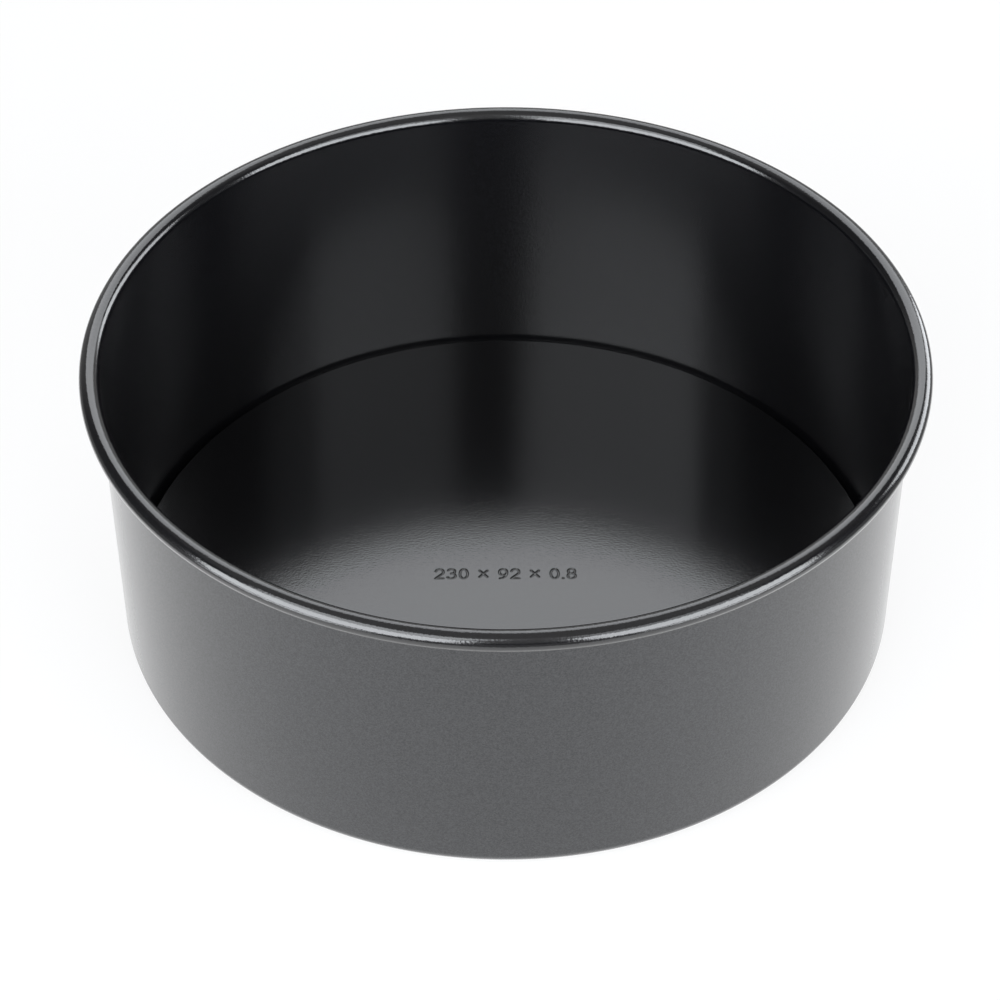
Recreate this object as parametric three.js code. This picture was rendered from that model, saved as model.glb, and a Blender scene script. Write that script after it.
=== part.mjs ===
// Deep round cake tin with a loose base.
//
// A seamless drawn steel side has a rolled rim at the top and an inturned ledge at the foot. The
// ledge's edge is folded back over it. A flat steel disc rests on the fold and lifts out through the top.
//
// Millimetres, +Z up. The origin is on the tin's axis, in the plane that the tin stands on.

import * as THREE from "three";

// Driving dimensions of the side
const INNER_DIAMETER = 230; // inside of the side at the rim
const FOOT_DIAMETER = 228.2; // inside of the side at the foot, as it narrows a little
const HEIGHT = 92.2; // standing plane to the top of the rim
const SIDE_SHEET = 0.8; // steel of the side
const BEAD_DIAMETER = 5.9; // outside of the rolled rim
const CURL_GAP = 0.4; // from the rolled edge to the side
const BEND_RADIUS = 3.2; // inside of the bend between the side and the ledge
const FOLD_RADIUS = 0.65; // inside of the fold along the ledge's edge

// Driving dimensions of the loose base and its seat
const BASE_SHEET = 1; // steel of the disc
const BASE_EDGE_BREAK = 0.25; // deburred edge of the disc
const BASE_CLEARANCE = 1.7; // from the disc's edge to the foot of the side
const BASE_LAP = 8; // from the disc's edge to the ledge's opening
const LEAF_INSET = 2; // from the disc's edge to the edge of the folded leaf
const SEAT_GAP = 0.1; // thickness of the coatings between the ledge and the disc

// Facets of the round stretches
const TURN_STEPS = 96;
const CURL_STEPS = 16;
const BEND_STEPS = 6;
const FOLD_STEPS = 6;

// Sizes that follow from the driving dimensions
const halfTurn = Math.PI;
const quarterTurn = Math.PI / 2;
const footRadius = FOOT_DIAMETER / 2;
const beadRadius = BEAD_DIAMETER / 2;
const curl = { r: INNER_DIAMETER / 2 + beadRadius, z: HEIGHT - beadRadius };
const bend = { r: footRadius - BEND_RADIUS, z: SIDE_SHEET + BEND_RADIUS };
const baseRadius = footRadius - BASE_CLEARANCE;
const foldReach = FOLD_RADIUS + SIDE_SHEET;
const fold = { r: baseRadius - BASE_LAP + foldReach, z: foldReach };
const seatHeight = 2 * foldReach;

// The angle that the side leans out by, so that it runs smoothly from the bend into the rolled rim
const rise = new THREE.Vector2(curl.r - bend.r, curl.z - bend.z);
const draft = Math.acos((BEND_RADIUS + beadRadius) / rise.length()) - rise.angle();

// The finish of each piece
const greySatinCoat = new THREE.MeshStandardMaterial({ color: 0x5c5e60, roughness: 0.45, metalness: 0.5 });
const blackReleaseCoat = new THREE.MeshStandardMaterial({ color: 0x161718, roughness: 0.3, metalness: 0.2 });

// Points of a round stretch of a profile, from one angle to another in radians.
function arc(centre, radius, from, to, steps) {
  const clockwise = to < from;
  const curve = new THREE.EllipseCurve(centre.r, centre.z, radius, radius, from, to, clockwise);
  return curve.getPoints(steps);
}

// A solid of revolution about Z from a profile of radius and height, drawn anticlockwise.
function turned(name, profile, material) {
  const geometry = new THREE.LatheGeometry(profile, TURN_STEPS);
  geometry.rotateX(Math.PI / 2);
  const mesh = new THREE.Mesh(geometry, material);
  mesh.name = name;
  return mesh;
}

// The side is one sheet. Its leaf lies on top of the ledge and folds over into it, the ledge turns up
// through the bend into the wall, and the wall's top rolls outwards and down into the rim, until the
// sheet's edge almost meets the wall again.
function tinSide() {
  const leafEdge = baseRadius - LEAF_INSET;
  const edgeReach = beadRadius - SIDE_SHEET - CURL_GAP;
  const edgeAngle = Math.acos(edgeReach / beadRadius) - halfTurn;
  const rimAngle = halfTurn - draft;
  const profile = [
    new THREE.Vector2(fold.r, 0),
    ...arc(bend, BEND_RADIUS + SIDE_SHEET, -quarterTurn, -draft, BEND_STEPS),
    ...arc(curl, beadRadius - SIDE_SHEET, rimAngle, edgeAngle, CURL_STEPS),
    ...arc(curl, beadRadius, edgeAngle, rimAngle, CURL_STEPS),
    ...arc(bend, BEND_RADIUS, -draft, -quarterTurn, BEND_STEPS),
    ...arc(fold, FOLD_RADIUS, -quarterTurn, -3 * quarterTurn, FOLD_STEPS),
    new THREE.Vector2(leafEdge, seatHeight - SIDE_SHEET),
    new THREE.Vector2(leafEdge, seatHeight),
    ...arc(fold, foldReach, quarterTurn, 3 * quarterTurn, FOLD_STEPS),
  ];
  return turned("tin_side", profile, greySatinCoat);
}

// The base is a flat disc with its edges broken. It stands on its own underside's plane.
function looseBase() {
  const flatRadius = baseRadius - BASE_EDGE_BREAK;
  const profile = [
    new THREE.Vector2(0, 0),
    new THREE.Vector2(flatRadius, 0),
    new THREE.Vector2(baseRadius, BASE_EDGE_BREAK),
    new THREE.Vector2(baseRadius, BASE_SHEET - BASE_EDGE_BREAK),
    new THREE.Vector2(flatRadius, BASE_SHEET),
    new THREE.Vector2(0, BASE_SHEET),
  ];
  const base = turned("loose_base", profile, blackReleaseCoat);
  base.position.z = seatHeight + SEAT_GAP;
  return base;
}

const tin = new THREE.Group();
tin.add(tinSide(), looseBase());

export default tin;
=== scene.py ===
# %% [markdown]
# # A deep round cake tin with a loose base
# This lesson dresses a finished construction model of a cake tin for a studio picture. The tin has two
# pieces: a side drawn from one steel sheet, with a rolled rim and a folded ledge, and a flat disc that
# rests on the ledge. Nothing is moved or resized here. Each step makes a finer mesh in the place of a
# construction solid, and gives it the finish of the real tin.

# %% Load the construction model
import math

import bmesh
import bpy
from mathutils import Matrix, Vector


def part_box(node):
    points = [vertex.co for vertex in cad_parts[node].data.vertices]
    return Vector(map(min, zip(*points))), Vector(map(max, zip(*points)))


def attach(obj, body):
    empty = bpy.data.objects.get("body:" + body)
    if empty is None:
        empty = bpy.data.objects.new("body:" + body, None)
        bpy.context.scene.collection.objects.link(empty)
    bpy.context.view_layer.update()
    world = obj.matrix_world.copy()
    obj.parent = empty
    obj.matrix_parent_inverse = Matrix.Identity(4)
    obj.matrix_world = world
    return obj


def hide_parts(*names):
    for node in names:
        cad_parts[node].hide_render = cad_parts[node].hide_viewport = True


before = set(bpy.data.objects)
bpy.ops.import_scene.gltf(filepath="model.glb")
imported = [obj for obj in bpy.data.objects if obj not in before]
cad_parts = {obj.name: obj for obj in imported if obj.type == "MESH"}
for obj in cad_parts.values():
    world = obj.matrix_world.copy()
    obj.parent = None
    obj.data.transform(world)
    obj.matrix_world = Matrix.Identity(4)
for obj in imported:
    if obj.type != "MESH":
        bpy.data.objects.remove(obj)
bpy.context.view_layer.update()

# %% [markdown]
# ## Sizes
# All lengths are metres. The sizes of the sheet are those of the construction model, and the places of the
# disc come from the model itself. Printing the difference between the two shows that they agree: the
# construction solid has flat facets, so its rim is a few hundredths of a millimetre smaller.

# %% Sizes of the sheet and the disc
MM = 0.001
INNER_RADIUS = 115 * MM  # inside of the wall at the rim
FOOT_RADIUS = 114.1 * MM  # inside of the wall at the foot
HEIGHT = 92.2 * MM
SHEET = 0.8 * MM
BEAD_RADIUS = 2.95 * MM  # outside of the rolled rim
CURL_GAP = 0.4 * MM  # from the rolled edge to the wall
BEND_RADIUS = 3.2 * MM  # inside of the bend at the foot
FOLD_RADIUS = 0.65 * MM  # inside of the fold along the ledge
BASE_LAP = 8 * MM  # from the disc's edge to the ledge's opening
LEAF_INSET = 2 * MM  # from the disc's edge to the edge of the folded leaf

_, side_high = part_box("tin_side")
base_low, base_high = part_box("loose_base")
base_radius = base_high.x
base_top = base_high.z
print("rim radius beyond the solid's, mm:", (INNER_RADIUS + 2 * BEAD_RADIUS - side_high.x) / MM)
print("height beyond the solid's, mm:", (HEIGHT - side_high.z) / MM)

# %% [markdown]
# ## Helpers for node trees
# Both the shapes and the finishes below are node trees. A tree written in code stays readable when one call
# adds a node, sets its options and fills its inputs, either with a plain value or with another node's
# output. Three more helpers add the nodes that come up most: arithmetic on numbers, arithmetic on vectors,
# and Map Range, which turns one range of numbers into another.

# %% Helpers that add nodes
def add_node(tree, kind, inputs=None, **options):
    made = tree.nodes.new(kind)
    for name, value in options.items():
        setattr(made, name, value)
    for socket, value in (inputs or {}).items():
        if isinstance(value, bpy.types.NodeSocket):
            tree.links.new(value, made.inputs[socket])
        else:
            made.inputs[socket].default_value = value
    return made


def calculate(tree, operation, first, second):
    return add_node(tree, "ShaderNodeMath", {0: first, 1: second}, operation=operation).outputs["Value"]


def combine(tree, operation, *vectors):
    inputs = dict(enumerate(vectors))
    return add_node(tree, "ShaderNodeVectorMath", inputs, operation=operation).outputs["Vector"]


def map_range(tree, value, before, after, interpolation="LINEAR"):
    ends = {"From Min": before[0], "From Max": before[1], "To Min": after[0], "To Max": after[1]}
    return add_node(
        tree, "ShaderNodeMapRange", {"Value": value, **ends}, interpolation_type=interpolation
    ).outputs["Result"]


# %% [markdown]
# ## Orange peel and mottle
# The inside, the top of the base and the rolled rim have a black non-stick coat. It is sprayed and baked, so
# it is smooth but not flat: it has the soft ripple called orange peel, and a finer grain in it. Its black is
# mottled a little by the filler in it. Noise textures give all three, as two bumps and as a change of tone.
# They read Object coordinates, so that their widths are real sizes.

# %% Ripple and mottle of a coat
PEEL_WIDTH = 0.68 * MM
PEEL_HEIGHT = 0.027 * MM
GRAIN_WIDTH = 0.4 * MM
GRAIN_HEIGHT = 0.014 * MM
MOTTLE_WIDTH = 0.7 * MM
MOTTLE_TONE = (0.3, 1.7)
NOISE_DETAIL = 1.0
NOISE_RANGE = (0.25, 0.75)


def noise_at(tree, place, width):
    inputs = {"Vector": place, "Scale": 1 / width, "Detail": NOISE_DETAIL}
    return add_node(tree, "ShaderNodeTexNoise", inputs).outputs["Fac"]


def ripple(tree, place, width, height, below=None):
    inputs = {"Height": noise_at(tree, place, width), "Distance": height}
    if below is not None:
        inputs["Normal"] = below
    return add_node(tree, "ShaderNodeBump", inputs).outputs["Normal"]


def tinted(tree, colour, share):
    inputs = {"Vector": colour[:3], "Scale": share}
    return add_node(tree, "ShaderNodeVectorMath", inputs, operation="SCALE").outputs["Vector"]


# %% [markdown]
# ## The release coat
# Such a coat mirrors a lamp in two ways: clearly in its smooth skin, and as a wide haze from below the skin.
# One roughness can't give both, so the shader has two layers. Its own reflection is the haze, and its Coat is
# the gloss. On the flat base the gloss is the stronger. On the drawn wall the haze is, and fine rings from
# the drawing spread it up and down. Anisotropic does that, with a tangent that runs round the axis.

# %% Black release coat
RELEASE_BLACK = (0.0028, 0.0028, 0.0036, 1)
FLAT_LAYERS = {
    "IOR": 1.4,
    "Roughness": 0.19,
    "Coat Weight": 1.0,
    "Coat IOR": 1.65,
    "Coat Roughness": 0.11,
}
DRAWN_LAYERS = {
    "IOR": 1.6,
    "Roughness": 0.24,
    "Anisotropic": 0.9,
    "Anisotropic Rotation": 0.25,
    "Coat Weight": 1.0,
    "Coat IOR": 1.4,
    "Coat Roughness": 0.11,
}


def new_finish(name, layers):
    finish = bpy.data.materials.new(name)
    finish.use_nodes = True
    tree = finish.node_tree
    shader = tree.nodes["Principled BSDF"].inputs
    for socket, value in layers.items():
        shader[socket].default_value = value
    place = add_node(tree, "ShaderNodeTexCoord").outputs["Object"]
    return finish, tree, shader, place


def release_coat(name, layers):
    finish, tree, shader, place = new_finish(name, layers)
    tone = map_range(tree, noise_at(tree, place, MOTTLE_WIDTH), NOISE_RANGE, MOTTLE_TONE)
    tree.links.new(tinted(tree, RELEASE_BLACK, tone), shader["Base Color"])
    peel = ripple(tree, place, PEEL_WIDTH, PEEL_HEIGHT)
    grain = ripple(tree, place, GRAIN_WIDTH, GRAIN_HEIGHT, below=peel)
    tree.links.new(grain, shader["Normal"])
    tree.links.new(grain, shader["Coat Normal"])
    if "Anisotropic" in layers:
        rings = add_node(tree, "ShaderNodeTangent", direction_type="RADIAL", axis="Z")
        tree.links.new(rings.outputs["Tangent"], shader["Tangent"])
    return finish


side_coat = release_coat("black release coat, drawn", DRAWN_LAYERS)
base_coat = release_coat("black release coat, flat", FLAT_LAYERS)
print("finishes:", side_coat.name, "and", base_coat.name)

# %% [markdown]
# ## The outside coat
# The outside of the side and the underside of the base have a very dark grey satin coat, which is fine metal
# flake under a clear layer. So the shader is a rough dark metal with a smoother Coat over it. Each cell of a
# Voronoi texture stands for one flake, and its random colour makes it a little paler or darker. A faint
# ripple under the clear layer stands for flakes that don't lie quite flat.

# %% Grey satin coat with flake
SATIN_GREY = (0.0582, 0.0596, 0.0629, 1)
SATIN_LAYERS = {
    "Metallic": 1.0,
    "Roughness": 0.4,
    "Coat Weight": 1.0,
    "Coat IOR": 1.48,
    "Coat Roughness": 0.15,
}
FLAKE_WIDTH = 0.3 * MM
FLAKE_TONE = (0.7, 1.35)
TOOTH_HEIGHT = 0.004 * MM
WHOLE_RANGE = (0.0, 1.0)


def satin_coat():
    finish, tree, shader, place = new_finish("grey satin coat", SATIN_LAYERS)
    flake = add_node(tree, "ShaderNodeTexVoronoi", {"Vector": place, "Scale": 1 / FLAKE_WIDTH})
    chance = add_node(tree, "ShaderNodeSeparateColor", {"Color": flake.outputs["Color"]})
    tone = map_range(tree, chance.outputs["Red"], WHOLE_RANGE, FLAKE_TONE)
    tree.links.new(tinted(tree, SATIN_GREY, tone), shader["Base Color"])
    tree.links.new(ripple(tree, place, GRAIN_WIDTH, TOOTH_HEIGHT), shader["Normal"])
    return finish


grey_coat = satin_coat()
print("finish:", grey_coat.name)

# %% [markdown]
# ## The drawn side
# The real side starts as a flat steel blank, is drawn into a cup, has most of its floor cut out, has the edge
# of the ledge that is left folded back over it, and has its top rolled outwards. So it is one sheet of one
# thickness, and its section follows a rule: leaf, fold, ledge, bend, wall and curl. It could be spun in edit
# mode or lathed from points. Here Geometry Nodes draws the middle line of the sheet from three lines and
# three arcs, and sweeps it round a circle, so that each size stays a named input. In a section X is the
# distance from the axis and Y the height.

# %% Helpers for trees that make shapes
HALF_TURN = math.pi
QUARTER_TURN = math.pi / 2


def tree_with_inputs(name, inputs):
    tree = bpy.data.node_groups.new(name, "GeometryNodeTree")
    tree.interface.new_socket("Geometry", in_out="OUTPUT", socket_type="NodeSocketGeometry")
    keys = {}
    for label, kind in inputs.items():
        keys[label] = tree.interface.new_socket(label, in_out="INPUT", socket_type=kind).identifier
    entry = tree.nodes.new("NodeGroupInput")
    return tree, keys, entry.outputs


def stepped(tree, start, direction, distance):
    return combine(tree, "MULTIPLY_ADD", direction, distance, start)


def straight(tree, start, end, steps):
    line = add_node(tree, "GeometryNodeCurvePrimitiveLine", {"Start": start, "End": end})
    return add_node(
        tree, "GeometryNodeResampleCurve", {"Curve": line.outputs["Curve"], "Count": steps + 1}
    ).outputs["Curve"]


def bent(tree, centre, radius, start, sweep, steps):
    arc = add_node(
        tree,
        "GeometryNodeCurveArc",
        {"Resolution": steps + 1, "Radius": radius, "Start Angle": start, "Sweep Angle": sweep},
        mode="RADIUS",
    )
    return add_node(
        tree, "GeometryNodeTransform", {"Geometry": arc.outputs["Curve"], "Translation": centre}
    ).outputs["Geometry"]


def finished_with(tree, geometry, material):
    smooth = add_node(tree, "GeometryNodeSetShadeSmooth", {"Geometry": geometry})
    whole = add_node(tree, "GeometryNodeRealizeInstances", {"Geometry": smooth.outputs["Geometry"]})
    painted = add_node(
        tree, "GeometryNodeSetMaterial", {"Geometry": whole.outputs["Geometry"], "Material": material}
    )
    add_node(tree, "NodeGroupOutput", {"Geometry": painted.outputs["Geometry"]})


# %% Section of the sheet
LEAF_STEPS = 2
FOLD_STEPS = 8
LEDGE_STEPS = 2
BEND_STEPS = 12
WALL_STEPS = 8
CURL_STEPS = 36
OUTWARD = (1, 0, 0)
INWARD = (-1, 0, 0)
UPWARD = (0, 1, 0)
DOWNWARD = (0, -1, 0)


def leaning(tree, direction, draft):
    clockwise = calculate(tree, "SUBTRACT", 0.0, draft)
    return add_node(
        tree, "ShaderNodeVectorRotate", {"Vector": direction, "Angle": clockwise}, rotation_type="Z_AXIS"
    ).outputs["Vector"]


def sheet_section(tree, given):
    draft = given["Draft"]
    fold_centre, fold_radius = given["Fold Centre"], given["Fold Radius"]
    bend_centre, bend_radius = given["Bend Centre"], given["Bend Radius"]
    curl_centre, curl_radius = given["Curl Centre"], given["Curl Radius"]
    fold_top = stepped(tree, fold_centre, UPWARD, fold_radius)
    fold_foot = stepped(tree, fold_centre, DOWNWARD, fold_radius)
    leaf_edge = stepped(tree, fold_top, OUTWARD, given["Leaf Width"])
    bend_foot = stepped(tree, bend_centre, DOWNWARD, bend_radius)
    wall_foot = stepped(tree, bend_centre, leaning(tree, OUTWARD, draft), bend_radius)
    wall_top = stepped(tree, curl_centre, leaning(tree, INWARD, draft), curl_radius)
    bend_sweep = calculate(tree, "SUBTRACT", QUARTER_TURN, draft)
    curl_start = calculate(tree, "SUBTRACT", HALF_TURN, draft)
    return [
        straight(tree, leaf_edge, fold_top, LEAF_STEPS),
        bent(tree, fold_centre, fold_radius, QUARTER_TURN, HALF_TURN, FOLD_STEPS),
        straight(tree, fold_foot, bend_foot, LEDGE_STEPS),
        bent(tree, bend_centre, bend_radius, -QUARTER_TURN, bend_sweep, BEND_STEPS),
        straight(tree, wall_foot, wall_top, WALL_STEPS),
        bent(tree, curl_centre, curl_radius, curl_start, given["Curl Turn"], CURL_STEPS),
    ]


# %% Node tree that sweeps the section round the axis
TURN_STEPS = 480
SWEEP_RADIUS = 100 * MM
WELD = 0.001 * MM


def drawn_sheet_tree():
    tree, keys, given = tree_with_inputs(
        "drawn sheet",
        {
            "Leaf Width": "NodeSocketFloat",
            "Fold Centre": "NodeSocketVector",
            "Fold Radius": "NodeSocketFloat",
            "Bend Centre": "NodeSocketVector",
            "Bend Radius": "NodeSocketFloat",
            "Draft": "NodeSocketFloat",
            "Curl Centre": "NodeSocketVector",
            "Curl Radius": "NodeSocketFloat",
            "Curl Turn": "NodeSocketFloat",
            "Coat": "NodeSocketMaterial",
        },
    )
    section = add_node(tree, "GeometryNodeJoinGeometry")
    for stretch in sheet_section(tree, given):
        tree.links.new(stretch, section.inputs["Geometry"])
    # A section is swept relative to its circle. Its own Y axis then points down, so it is turned over first.
    laid_on_circle = add_node(
        tree,
        "GeometryNodeTransform",
        {
            "Geometry": section.outputs["Geometry"],
            "Rotation": (HALF_TURN, 0, 0),
            "Translation": (-SWEEP_RADIUS, 0, 0),
        },
    )
    circle = add_node(
        tree,
        "GeometryNodeCurvePrimitiveCircle",
        {"Resolution": TURN_STEPS, "Radius": SWEEP_RADIUS},
        mode="RADIUS",
    )
    sweep = add_node(
        tree,
        "GeometryNodeCurveToMesh",
        {"Curve": circle.outputs["Curve"], "Profile Curve": laid_on_circle.outputs["Geometry"]},
    )
    welded = add_node(
        tree, "GeometryNodeMergeByDistance", {"Geometry": sweep.outputs["Mesh"], "Distance": WELD}
    )
    finished_with(tree, welded.outputs["Geometry"], given["Coat"])
    return tree, keys


sheet_tree, sheet_keys = drawn_sheet_tree()
print("tree:", sheet_tree.name, "with", len(sheet_tree.nodes), "nodes")

# %% [markdown]
# ## Where the bends lie
# The centres of the bends follow from the sizes. The wall is the straight line that touches both the bend at
# the foot and the rolled rim, so the small angle that it leans out by follows too.

# %% Places of the bends
half_sheet = SHEET / 2
curl_centre = Vector((INNER_RADIUS + BEAD_RADIUS, HEIGHT - BEAD_RADIUS, 0))
bend_centre = Vector((FOOT_RADIUS - BEND_RADIUS, SHEET + BEND_RADIUS, 0))
fold_reach = FOLD_RADIUS + SHEET
fold_centre = Vector((base_radius - BASE_LAP + fold_reach, fold_reach, 0))
rise = curl_centre - bend_centre
draft = math.acos((BEND_RADIUS + BEAD_RADIUS) / rise.length) - math.atan2(rise.y, rise.x)
curl_reach = BEAD_RADIUS - SHEET - CURL_GAP
curl_turn = math.acos(curl_reach / BEAD_RADIUS) - 2 * HALF_TURN + draft
print("the side leans out by", round(math.degrees(draft), 3), "degrees")

# %% [markdown]
# ## From a surface to a sheet of steel
# The swept surface has no thickness yet. Solidify gives it the sheet's thickness, half to each side of its
# middle, and paints the back of the sheet with the next material, so that the inside is black and the
# outside grey, as on a coated blank. Bevel takes the sharp corner off the two cut edges, and Weighted Normal
# keeps the long wall straight in reflections. The result is then turned into a plain mesh. On the rolled rim
# the black face looks outwards, and it is as glossy as the flat base, so its faces get the flat coat.

# %% Helpers that make pieces
def new_piece(name, mesh=None):
    piece = bpy.data.objects.new(name, mesh or bpy.data.meshes.new(name))
    bpy.context.scene.collection.objects.link(piece)
    return piece


def set_inputs(piece, tree, keys, values):
    modifier = piece.modifiers.new(tree.name, "NODES")
    modifier.node_group = tree
    for label, value in values.items():
        modifier[keys[label]] = value


def make_plain(piece):
    depsgraph = bpy.context.evaluated_depsgraph_get()
    mesh = bpy.data.meshes.new_from_object(
        piece.evaluated_get(depsgraph), preserve_all_data_layers=True, depsgraph=depsgraph
    )
    before = piece.data
    piece.modifiers.clear()
    piece.data = mesh
    bpy.data.meshes.remove(before)
    mesh.name = piece.name
    return mesh


def triangles(mesh):
    return sum(len(face.vertices) - 2 for face in mesh.polygons)


def coats_of(mesh):
    return [coat.name for coat in mesh.materials]


# %% Make the drawn side
CUT_EDGE_ROUND = 0.2 * MM
CUT_EDGE_STEPS = 3
CUT_EDGE_ANGLE = math.radians(60)
INSIDE_SLOT = 0
OUTSIDE_SLOT = 1
RIM_SLOT = 2


def thicken(piece):
    sheet_steel = piece.modifiers.new("sheet steel", "SOLIDIFY")
    sheet_steel.thickness = SHEET
    sheet_steel.offset = 0
    sheet_steel.use_even_offset = True
    sheet_steel.material_offset = OUTSIDE_SLOT
    cut_edges = piece.modifiers.new("cut edges", "BEVEL")
    cut_edges.width = CUT_EDGE_ROUND
    cut_edges.segments = CUT_EDGE_STEPS
    cut_edges.limit_method = "ANGLE"
    cut_edges.angle_limit = CUT_EDGE_ANGLE
    piece.modifiers.new("straight wall", "WEIGHTED_NORMAL")


drawn_side = new_piece("drawn_side")
drawn_side.data.materials.append(side_coat)
drawn_side.data.materials.append(grey_coat)
set_inputs(
    drawn_side,
    sheet_tree,
    sheet_keys,
    {
        "Leaf Width": base_radius - LEAF_INSET - fold_centre.x,
        "Fold Centre": fold_centre,
        "Fold Radius": FOLD_RADIUS + half_sheet,
        "Bend Centre": bend_centre,
        "Bend Radius": BEND_RADIUS + half_sheet,
        "Draft": draft,
        "Curl Centre": curl_centre,
        "Curl Radius": BEAD_RADIUS - half_sheet,
        "Curl Turn": curl_turn,
        "Coat": side_coat,
    },
)
thicken(drawn_side)
side_mesh = make_plain(drawn_side)
for coat in (grey_coat, base_coat):
    if coat.name not in side_mesh.materials:
        side_mesh.materials.append(coat)
for face in side_mesh.polygons:
    on_rim = face.center.z > curl_centre.y or face.center.xy.length > curl_centre.x
    if on_rim and face.material_index == INSIDE_SLOT:
        face.material_index = RIM_SLOT
print("drawn side:", triangles(side_mesh), "triangles,", coats_of(side_mesh))

# %% [markdown]
# ## The figures of the size mark
# Tins carry their size on the base, pressed into the steel before it is coated. This mark is plain numbers,
# the diameter, the height and the sheet's thickness in millimetres. Text and a boolean cut could make it, but
# a press tool leaves soft slopes, so only the middle line of each stroke is drawn here, from straight runs
# and ovals. A figure is drawn in a box one wide and one high, and laid out from left to right.

# %% Strokes of the figures
FULL_TURN_DEGREES = 360
OVAL_STEPS = 40
LEAST_OVAL_STEPS = 4


def oval(middle_x, middle_y, reach_x, reach_y, start=0, end=FULL_TURN_DEGREES):
    turn = end - start
    steps = max(LEAST_OVAL_STEPS, round(OVAL_STEPS * abs(turn) / FULL_TURN_DEGREES))
    angles = [math.radians(start + turn * step / steps) for step in range(steps + 1)]
    return [(middle_x + reach_x * math.cos(a), middle_y + reach_y * math.sin(a)) for a in angles]


STROKES = {
    "0": [oval(0.5, 0.5, 0.5, 0.5)],
    "2": [oval(0.5, 0.7, 0.5, 0.3, 168, -38) + [(0, 0), (1, 0)]],
    "3": [oval(0.46, 0.76, 0.46, 0.24, 152, -90), oval(0.46, 0.27, 0.54, 0.27, 90, -152)],
    "8": [oval(0.5, 0.76, 0.44, 0.24), oval(0.5, 0.26, 0.5, 0.26)],
    "9": [oval(0.5, 0.68, 0.5, 0.32), oval(0.1, 0.68, 0.9, 0.68, 0, -90)],
    "times": [[(0, 0.16), (1, 0.84)], [(0, 0.84), (1, 0.16)]],
    "point": [[(0, 0), (0.05, 0)]],
}
MARK = ["2", "3", "0", " ", "times", " ", "9", "2", " ", "times", " ", "0", "point", "8"]

# %% Lay the figures out
FIGURE_WIDTH = 2.32 * MM
FIGURE_HEIGHT = 4.1 * MM
FIGURE_GAP = 1.35 * MM
WORD_GAP = 2.3 * MM
MARK_MIDDLE = Vector((-0.1 * MM, -1.0 * MM, base_top))


def laid_out(figures):
    pen = 0
    lines = []
    for figure in figures:
        if figure == " ":
            pen += WORD_GAP
            continue
        strokes = [[(x * FIGURE_WIDTH, y * FIGURE_HEIGHT) for x, y in line] for line in STROKES[figure]]
        lines += [[(pen + x, y) for x, y in line] for line in strokes]
        pen += max(x for line in strokes for x, _ in line) + FIGURE_GAP
    length = pen - FIGURE_GAP
    return lines, length


def stroke_mesh(lines, length):
    corner = MARK_MIDDLE - Vector((length / 2, FIGURE_HEIGHT / 2, 0))
    points = []
    edges = []
    for line in lines:
        first = len(points)
        points += [corner + Vector((x, y, 0)) for x, y in line]
        edges += [(first + step, first + step + 1) for step in range(len(line) - 1)]
    mesh = bpy.data.meshes.new("mark strokes")
    mesh.from_pydata(points, edges, [])
    return mesh


mark_lines, mark_length = laid_out(MARK)
print("mark:", len(mark_lines), "strokes,", round(mark_length / MM, 1), "mm between its end strokes")

# %% [markdown]
# ## Pressing the mark
# A fine grid covers the mark's place, and each of its points sinks by its distance to the nearest stroke: the
# groove has a flat floor and a smooth slope on both sides. Geometry Proximity measures that distance, and Map
# Range turns it into a depth. The slopes are real geometry, so that they catch the light from any side.

# %% Node tree that presses the mark
def pressed_mark_tree():
    tree, keys, given = tree_with_inputs(
        "pressed mark",
        {
            "Strokes": "NodeSocketGeometry",
            "Length": "NodeSocketFloat",
            "Width": "NodeSocketFloat",
            "Columns": "NodeSocketInt",
            "Rows": "NodeSocketInt",
            "Middle": "NodeSocketVector",
            "Groove Floor": "NodeSocketFloat",
            "Groove Slope": "NodeSocketFloat",
            "Groove Depth": "NodeSocketFloat",
            "Coat": "NodeSocketMaterial",
        },
    )
    grid = add_node(
        tree,
        "GeometryNodeMeshGrid",
        {
            "Size X": given["Length"],
            "Size Y": given["Width"],
            "Vertices X": given["Columns"],
            "Vertices Y": given["Rows"],
        },
    )
    plate = add_node(
        tree, "GeometryNodeTransform", {"Geometry": grid.outputs["Mesh"], "Translation": given["Middle"]}
    )
    nearest = add_node(tree, "GeometryNodeProximity", {0: given["Strokes"]}, target_element="EDGES")
    floor_edge = calculate(tree, "DIVIDE", given["Groove Floor"], 2.0)
    slope_top = calculate(tree, "ADD", floor_edge, given["Groove Slope"])
    depth = map_range(
        tree,
        nearest.outputs["Distance"],
        (floor_edge, slope_top),
        (given["Groove Depth"], 0.0),
        "SMOOTHSTEP",
    )
    sink = add_node(tree, "ShaderNodeCombineXYZ", {"Z": calculate(tree, "SUBTRACT", 0.0, depth)})
    pressed = add_node(
        tree,
        "GeometryNodeSetPosition",
        {"Geometry": plate.outputs["Geometry"], "Offset": sink.outputs["Vector"]},
    )
    finished_with(tree, pressed.outputs["Geometry"], given["Coat"])
    return tree, keys


# %% Press the mark
GROOVE_FLOOR = 0.22 * MM
GROOVE_SLOPE = 0.32 * MM
GROOVE_DEPTH = 0.3 * MM
MARK_MARGIN = 0.9 * MM
MARK_CELL = 0.09 * MM

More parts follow.
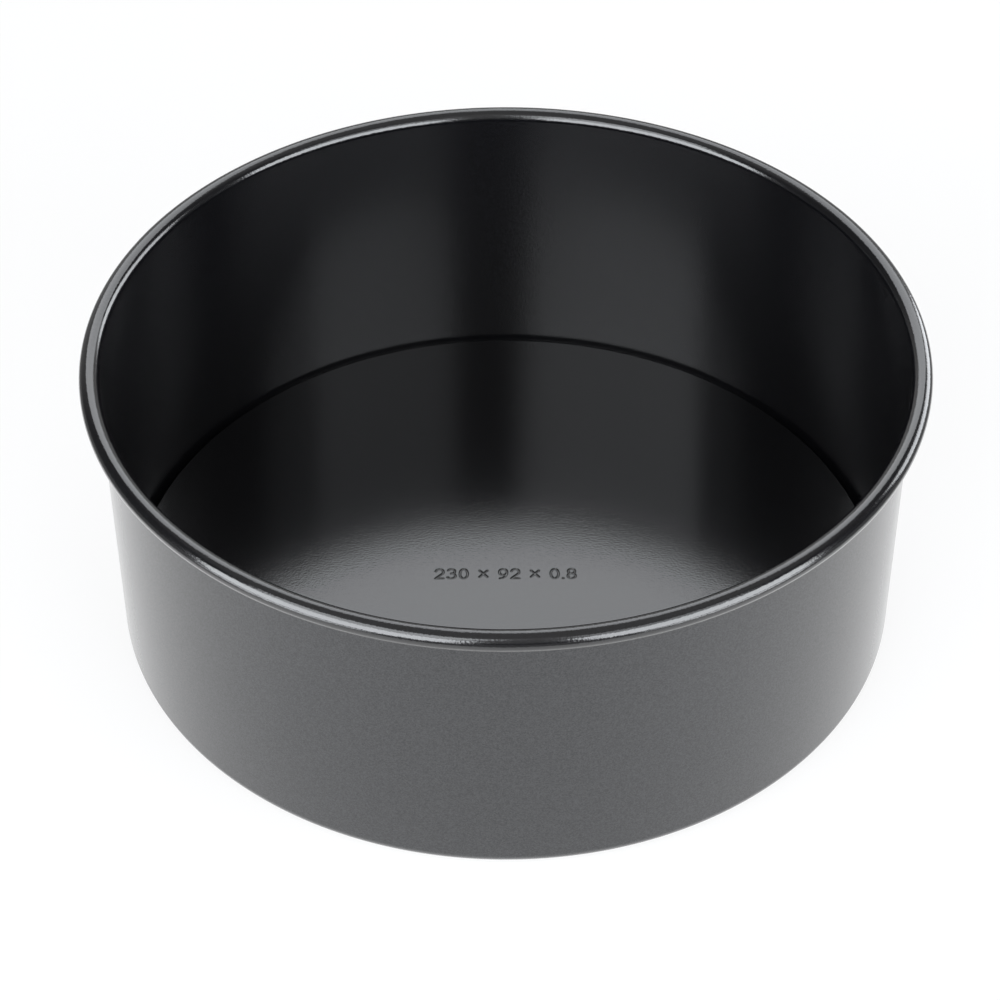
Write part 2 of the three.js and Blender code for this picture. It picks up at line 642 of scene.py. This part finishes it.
patch_length = mark_length + 2 * MARK_MARGIN
patch_width = FIGURE_HEIGHT + 2 * MARK_MARGIN
base_disc = new_piece("base_disc", stroke_mesh(mark_lines, mark_length))
base_disc.data.materials.append(base_coat)
mark_tree, mark_keys = pressed_mark_tree()
set_inputs(
    base_disc,
    mark_tree,
    mark_keys,
    {
        "Length": patch_length,
        "Width": patch_width,
        "Columns": round(patch_length / MARK_CELL) + 1,
        "Rows": round(patch_width / MARK_CELL) + 1,
        "Middle": MARK_MIDDLE,
        "Groove Floor": GROOVE_FLOOR,
        "Groove Slope": GROOVE_SLOPE,
        "Groove Depth": GROOVE_DEPTH,
        "Coat": base_coat,
    },
)
patch = make_plain(base_disc)
print("pressed patch:", triangles(patch), "triangles")

# %% [markdown]
# ## The disc round the mark
# The base is a flat blank with its edges rounded by tumbling. A cylinder with a bevel could make it, but the
# pressed patch has to be part of its top. So the patch is the start: rings of points follow the disc's edge
# from the top to the underside, neighbouring rings are joined by faces, the patch's border is bridged to the
# first ring, and a fan closes the underside. The top and the edge are black, and the underside grey.

# %% Rings of the disc
DISC_EDGE_ROUND = 0.25 * MM
DISC_EDGE_STEPS = 5


def disc_section():
    flat = base_radius - DISC_EDGE_ROUND
    upper_corner = (base_top - DISC_EDGE_ROUND, QUARTER_TURN, 0)
    lower_corner = (base_low.z + DISC_EDGE_ROUND, 0, -QUARTER_TURN)
    section = []
    for height, start, end in (upper_corner, lower_corner):
        for step in range(DISC_EDGE_STEPS + 1):
            angle = start + (end - start) * step / DISC_EDGE_STEPS
            radius = flat + DISC_EDGE_ROUND * math.cos(angle)
            section.append((radius, height + DISC_EDGE_ROUND * math.sin(angle)))
    return section


def ring(shape, radius, height):
    angles = [2 * HALF_TURN * step / TURN_STEPS for step in range(TURN_STEPS)]
    return [shape.verts.new((radius * math.cos(a), radius * math.sin(a), height)) for a in angles]


def join_rings(shape, upper, lower):
    for step in range(TURN_STEPS):
        after = (step + 1) % TURN_STEPS
        shape.faces.new((upper[step], lower[step], lower[after], upper[after]))


# %% Make the base disc
TOP_SLOT = 0
UNDERSIDE_SLOT = 1
FACES_DOWN = -0.5


def build_disc(patch):
    shape = bmesh.new()
    shape.from_mesh(patch)
    border = [edge for edge in shape.edges if edge.is_boundary]
    rings = [ring(shape, radius, height) for radius, height in disc_section()]
    for upper, lower in zip(rings, rings[1:]):
        join_rings(shape, upper, lower)
    rim = [shape.edges.get((rings[0][step - 1], rings[0][step])) for step in range(TURN_STEPS)]
    bmesh.ops.bridge_loops(shape, edges=border + rim)
    centre = shape.verts.new((0, 0, base_low.z))
    for step in range(TURN_STEPS):
        shape.faces.new((rings[-1][step - 1], rings[-1][step], centre))
    bmesh.ops.recalc_face_normals(shape, faces=shape.faces)
    for face in shape.faces:
        face.smooth = True
        face.material_index = UNDERSIDE_SLOT if face.normal.z < FACES_DOWN else TOP_SLOT
    open_edges = sum(not edge.is_manifold for edge in shape.edges)
    print("base disc:", len(shape.faces), "faces,", open_edges, "open edges")
    shape.to_mesh(patch)
    shape.free()


patch.materials.clear()
patch.materials.append(base_coat)
patch.materials.append(grey_coat)
build_disc(patch)
base_disc.modifiers.new("flat top", "WEIGHTED_NORMAL")
disc_mesh = make_plain(base_disc)
print("base disc:", triangles(disc_mesh), "triangles,", coats_of(disc_mesh))

# %% [markdown]
# ## The pieces ride on the construction model
# Each finished mesh stands for its construction solid, which is then hidden, and moves with the body that the
# solid belongs to. The side belongs to the tin, and the disc lifts out.

# %% Ride and replace
for piece, body, node, slot in (
    (drawn_side, "tin", "tin_side", "side_coat"),
    (base_disc, "base", "loose_base", "base_coat"),
):
    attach(piece, body)
    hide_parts(node)
    print(piece.name, "rides on", body, "and stands for", node)

# %% [markdown]
# ## The camera
# A long lens looks down at the tin from the front. Its place and tilt come from the outlines of the rim, the
# foot and the base: where the ellipses lie in the picture fixes both, once the diameter is known.

# %% Camera
SENSOR_WIDTH = 36.0
LENS = 108.412
CAMERA_AIM = Vector((-1.73 * MM, 0, 35 * MM))
CAMERA_DISTANCE = 892.75 * MM
CAMERA_TILT = math.radians(41.391)
CAMERA_ROLL = -0.0024
CAMERA_SHIFT = -0.00533


def place_camera():
    forward = Vector((0, math.cos(CAMERA_TILT), -math.sin(CAMERA_TILT)))
    data = bpy.data.cameras.new("studio camera")
    data.sensor_width = SENSOR_WIDTH
    data.lens = LENS
    data.shift_y = CAMERA_SHIFT
    camera = bpy.data.objects.new("studio camera", data)
    bpy.context.scene.collection.objects.link(camera)
    level = forward.to_track_quat("-Z", "Y").to_matrix().to_4x4()
    level.translation = CAMERA_AIM - forward * CAMERA_DISTANCE
    roll = Matrix.Rotation(CAMERA_ROLL, 4, "Z")
    camera.matrix_world = level @ roll
    bpy.context.scene.camera = camera
    return camera


camera = place_camera()
print("camera at", [round(x, 4) for x in camera.matrix_world.translation])

# %% [markdown]
# ## The floor
# The tin stands on plain white paper. To the camera the paper is white everywhere, and most of that white is
# its own light, so that the shadow round the tin stays faint. The coats mirror the floor too, and a sheet of
# paper ends outside the picture. So every other ray sees white paper near the tin only, and a dimmer floor
# beyond it. Light Path tells the camera's rays and the mirrored ones from the rest.

# %% Floor
FLOOR_SIDE = 12.0
FLOOR_DROP = 0.05 * MM
PAPER_WHITE = 0.92
PAPER_GLOW = 0.8
PAPER_MIDDLE = (0, 0.05, 0)
PAPER_REACH = (0.23, 0.33, 0)
PAPER_FADE = (0.0, 0.04)
PAPER_TO_FLOOR = (1.0, 0.25)


def pale_paper():
    matt = {"Roughness": 1.0, "Specular IOR Level": 0.0}
    paper, tree, shader, place = new_finish("pale paper", matt)
    offset = combine(tree, "SUBTRACT", place, PAPER_MIDDLE)
    beyond = combine(tree, "SUBTRACT", combine(tree, "ABSOLUTE", offset), PAPER_REACH)
    sides = add_node(tree, "ShaderNodeSeparateXYZ", {"Vector": beyond}).outputs
    furthest = calculate(tree, "MAXIMUM", sides["X"], sides["Y"])
    level = map_range(tree, furthest, PAPER_FADE, PAPER_TO_FLOOR, "SMOOTHSTEP")
    ray = add_node(tree, "ShaderNodeLightPath").outputs
    shown = calculate(tree, "MAXIMUM", level, ray["Is Camera Ray"])
    tree.links.new(calculate(tree, "MULTIPLY", shown, PAPER_WHITE), shader["Base Color"])
    glow = add_node(tree, "ShaderNodeEmission", {"Strength": shown})
    seen = calculate(tree, "MAXIMUM", ray["Is Camera Ray"], ray["Is Glossy Ray"])
    share = calculate(tree, "MULTIPLY", seen, PAPER_GLOW)
    lit = tree.nodes["Principled BSDF"].outputs["BSDF"]
    look = add_node(tree, "ShaderNodeMixShader", {0: share, 1: lit, 2: glow.outputs["Emission"]})
    tree.links.new(look.outputs["Shader"], tree.nodes["Material Output"].inputs["Surface"])
    return paper


def lay_floor():
    half = FLOOR_SIDE / 2
    corners = [(-half, -half), (half, -half), (half, half), (-half, half)]
    mesh = bpy.data.meshes.new("floor")
    mesh.from_pydata([(x, y, -FLOOR_DROP) for x, y in corners], [], [(0, 1, 2, 3)])
    mesh.materials.append(pale_paper())
    floor = new_piece("floor", mesh)
    return floor


floor = lay_floor()
print("floor:", [round(x, 2) for x in floor.dimensions], "with", coats_of(floor.data))

# %% [markdown]
# ## The soft boxes
# Wide soft boxes light the tin from the left and the right of the camera, with a dark gap between them. Each
# fades towards its top, so a dimmer box hangs above it. One more stands behind the tin on the right, and one
# hangs behind it. A black glossy coat shows little of its own colour: what one sees in it is these lamps, so
# their places matter more than their strength. Each lamp is given by the part of the sky that it covers, as
# seen from the tin, in degrees: round from the front to the right, and up from the floor. Its radiance is how
# bright it looks, where 1 is the white of the picture, and its power follows from that and its area.

# %% Soft boxes
LAMP_AIM = Vector((0, 0, 50 * MM))
LAMP_DISTANCE = 1.2
LAMP_POWER_PER_RADIANCE = 4.0
LAMP_COLOUR = (0.935, 0.963, 1.0)
SOFT_BOXES = {
    "left soft box": {"across": (-74, -10), "up": (-1, 34), "radiance": 4.6},
    "left upper box": {"across": (-66, -6), "up": (34, 55), "radiance": 2.2},
    "right soft box": {"across": (17, 75), "up": (-1, 34), "radiance": 4.4},
    "right upper box": {"across": (17, 64), "up": (34, 50), "radiance": 1.1},
    "right back box": {"across": (104, 145), "up": (4, 26), "radiance": 3.2},
    "back soft box": {"across": (144, 216), "up": (28, 62), "radiance": 1.4},
}


def new_lamp(name, shape, size, area, radiance):
    data = bpy.data.lights.new(name, "AREA")
    data.shape = shape
    data.size, data.size_y = size
    data.energy = LAMP_POWER_PER_RADIANCE * radiance * area
    data.color = LAMP_COLOUR
    lamp = bpy.data.objects.new(name, data)
    bpy.context.scene.collection.objects.link(lamp)
    lamp.visible_camera = False
    return lamp


def middle_and_half(span):
    low, high = (math.radians(angle) for angle in span)
    return (low + high) / 2, (high - low) / 2


def hang_soft_box(name, across, up, radiance):
    azimuth, half_across = middle_and_half(across)
    elevation, half_up = middle_and_half(up)
    width = 2 * LAMP_DISTANCE * math.cos(elevation) * math.tan(half_across)
    height = 2 * LAMP_DISTANCE * math.tan(half_up)
    lamp = new_lamp(name, "RECTANGLE", (width, height), width * height, radiance)
    level = Vector((math.sin(azimuth), -math.cos(azimuth), 0)) * math.cos(elevation)
    away = level + Vector((0, 0, math.sin(elevation)))
    lamp.location = LAMP_AIM + away * LAMP_DISTANCE
    lamp.rotation_euler = (-away).to_track_quat("-Z", "Y").to_euler()
    return lamp


for name, facts in SOFT_BOXES.items():
    lamp = hang_soft_box(name, **facts)
    print(name, "at", [round(x, 2) for x in lamp.location], "with", round(lamp.data.energy, 1), "W")

# %% [markdown]
# ## Boards on the floor
# The rolled rim is round, so it mirrors all that stands between the lamps above and the floor. With the soft
# boxes alone the highlight along the rim is a thin line. Pale boards on the table carry the light further
# down, and widen it. A round lamp that lies on the floor and faces up stands for each board, on the left and
# the right outside the picture.

# %% Boards
BOARD_RADIUS = 0.23
BOARD_RADIANCE = 3.4
BOARD_ASIDE = 0.48
BOARD_FORWARD = 0.41
BOARD_HEIGHT = 2 * MM


def lay_board(name, aside):
    area = HALF_TURN * BOARD_RADIUS**2
    board = new_lamp(name, "DISK", (2 * BOARD_RADIUS, 2 * BOARD_RADIUS), area, BOARD_RADIANCE)
    board.location = (aside, -BOARD_FORWARD, BOARD_HEIGHT)
    board.rotation_euler = (HALF_TURN, 0, 0)
    return board


for name, aside in (("left board", -BOARD_ASIDE), ("right board", BOARD_ASIDE)):
    board = lay_board(name, aside)
    print(name, "at", [round(x, 3) for x in board.location], "with", round(board.data.energy, 1), "W")

# %% [markdown]
# ## The room
# The room round the lamps is dim, with a paler ceiling, a pale backdrop behind the tin and a pale patch round
# the camera. The world's strength is a sum of such glows. Each fades in towards one direction, and every kind
# of ray sees the same room.

# %% Room
ROOM_WHITE = (1, 1, 1, 1)
ROOM_DIM = 0.08
GLOWS = {
    "ceiling": {"towards": (0, 0, 1), "fade": (0.6, 0.95), "strength": 0.26},
    "backdrop": {"towards": (0, 1, 0), "fade": (0.55, 0.95), "strength": 0.3},
    "camera side": {"towards": (0, -0.78, 0.62), "fade": (0.84, 0.99), "strength": 0.25},
}


def paint_room():
    world = bpy.data.worlds.new("studio room")
    bpy.context.scene.world = world
    world.use_nodes = True
    tree = world.node_tree
    ray = add_node(tree, "ShaderNodeTexCoord").outputs["Generated"]
    strength = ROOM_DIM
    for glow in GLOWS.values():
        along = add_node(tree, "ShaderNodeVectorMath", {0: ray, 1: glow["towards"]}, operation="DOT_PRODUCT")
        level = map_range(
            tree, along.outputs["Value"], glow["fade"], (0.0, glow["strength"]), "SMOOTHSTEP"
        )
        strength = calculate(tree, "ADD", strength, level)
    room = tree.nodes["Background"].inputs
    tree.links.new(strength, room["Strength"])
    room["Color"].default_value = ROOM_WHITE


paint_room()
bpy.context.scene.view_settings.view_transform = "Standard"
print("room with", ", ".join(GLOWS))
